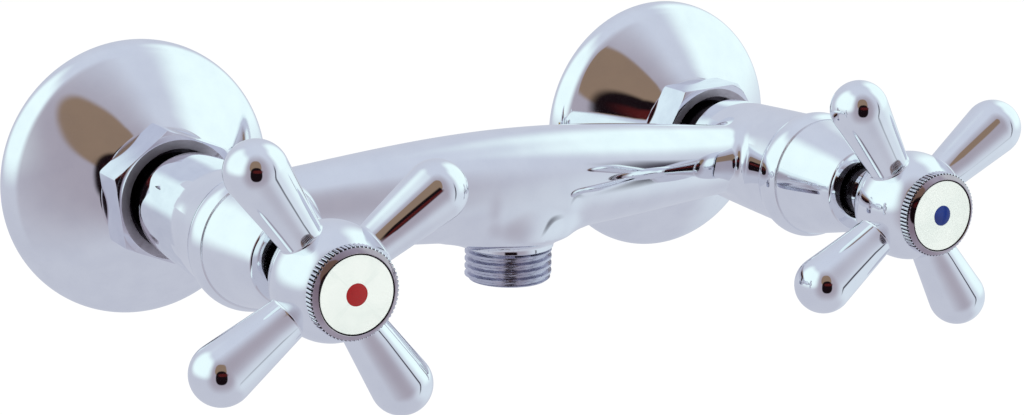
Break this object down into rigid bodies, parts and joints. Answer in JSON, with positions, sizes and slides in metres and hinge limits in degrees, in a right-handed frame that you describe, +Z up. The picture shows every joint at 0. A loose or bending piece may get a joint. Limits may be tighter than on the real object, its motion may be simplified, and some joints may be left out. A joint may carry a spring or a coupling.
{
  "type": "shower mixer tap",
  "caption": "Wall-mounted shower mixer tap: cross-handle ceramic valves joined by a swelling bar, threaded hose outlet below, eccentric wall unions behind round roses.",
  "frame": {"origin": "in the plane of the wall, midway between the axes of the two inlet threads", "axes": "+X from the hot side to the cold side along the bar, +Y into the wall, +Z up"},
  "size_m": [0.2168, 0.1445, 0.0668],
  "materials": {
    "body_chrome": "polished",
    "rose_chrome": "polished",
    "nut_chrome": "polished",
    "cover_chrome": "polished",
    "handle_chrome": "polished",
    "ring_chrome": "knurled",
    "thread_chrome": "satin",
    "brass": "machined",
    "dull_brass": "dull, in shadow",
    "steel": "plain",
    "rubber": "matt",
    "ceramic": "lapped",
    "enamel": "glossy"
  },
  "bodies": {
    "tap_body": {"mixer_body": "body_chrome", "hose_outlet_nipple": "thread_chrome", "hot_wall_union": "brass", "hot_wall_rose": "rose_chrome", "hot_union_nut": "nut_chrome", "hot_inlet_washer": "rubber", "hot_inlet_tailpiece": "dull_brass", "hot_valve_housing": "brass", "hot_housing_seal": "rubber", "hot_seat_seal": "rubber", "hot_fixed_disc": "ceramic", "hot_valve_cover": "cover_chrome", "cold_wall_union": "brass", "cold_wall_rose": "rose_chrome", "cold_union_nut": "nut_chrome", "cold_inlet_washer": "rubber", "cold_inlet_tailpiece": "dull_brass", "cold_valve_housing": "brass", "cold_housing_seal": "rubber", "cold_seat_seal": "rubber", "cold_fixed_disc": "ceramic", "cold_valve_cover": "cover_chrome"},
    "hot_handle_set": {"hot_handle": "handle_chrome", "hot_handle_screw": "steel", "hot_index_ring": "ring_chrome", "hot_index_disc": "enamel", "hot_spindle": "brass", "hot_spindle_seals": "rubber", "hot_spindle_clip": "steel", "hot_moving_disc": "ceramic"},
    "cold_handle_set": {"cold_handle": "handle_chrome", "cold_handle_screw": "steel", "cold_index_ring": "ring_chrome", "cold_index_disc": "enamel", "cold_spindle": "brass", "cold_spindle_seals": "rubber", "cold_spindle_clip": "steel", "cold_moving_disc": "ceramic"}
  },
  "joints": [
    {"name": "hot_handle_turn", "type": "hinge", "parent": "tap_body", "child": "hot_handle_set", "pos_m": [-0.075, -0.1105, 0.01], "axis": [0, -1, 0], "range_deg": [0, 90]},
    {"name": "cold_handle_turn", "type": "hinge", "parent": "tap_body", "child": "cold_handle_set", "pos_m": [0.075, -0.1105, 0.01], "axis": [0, -1, 0], "range_deg": [0, 90]}
  ]
}
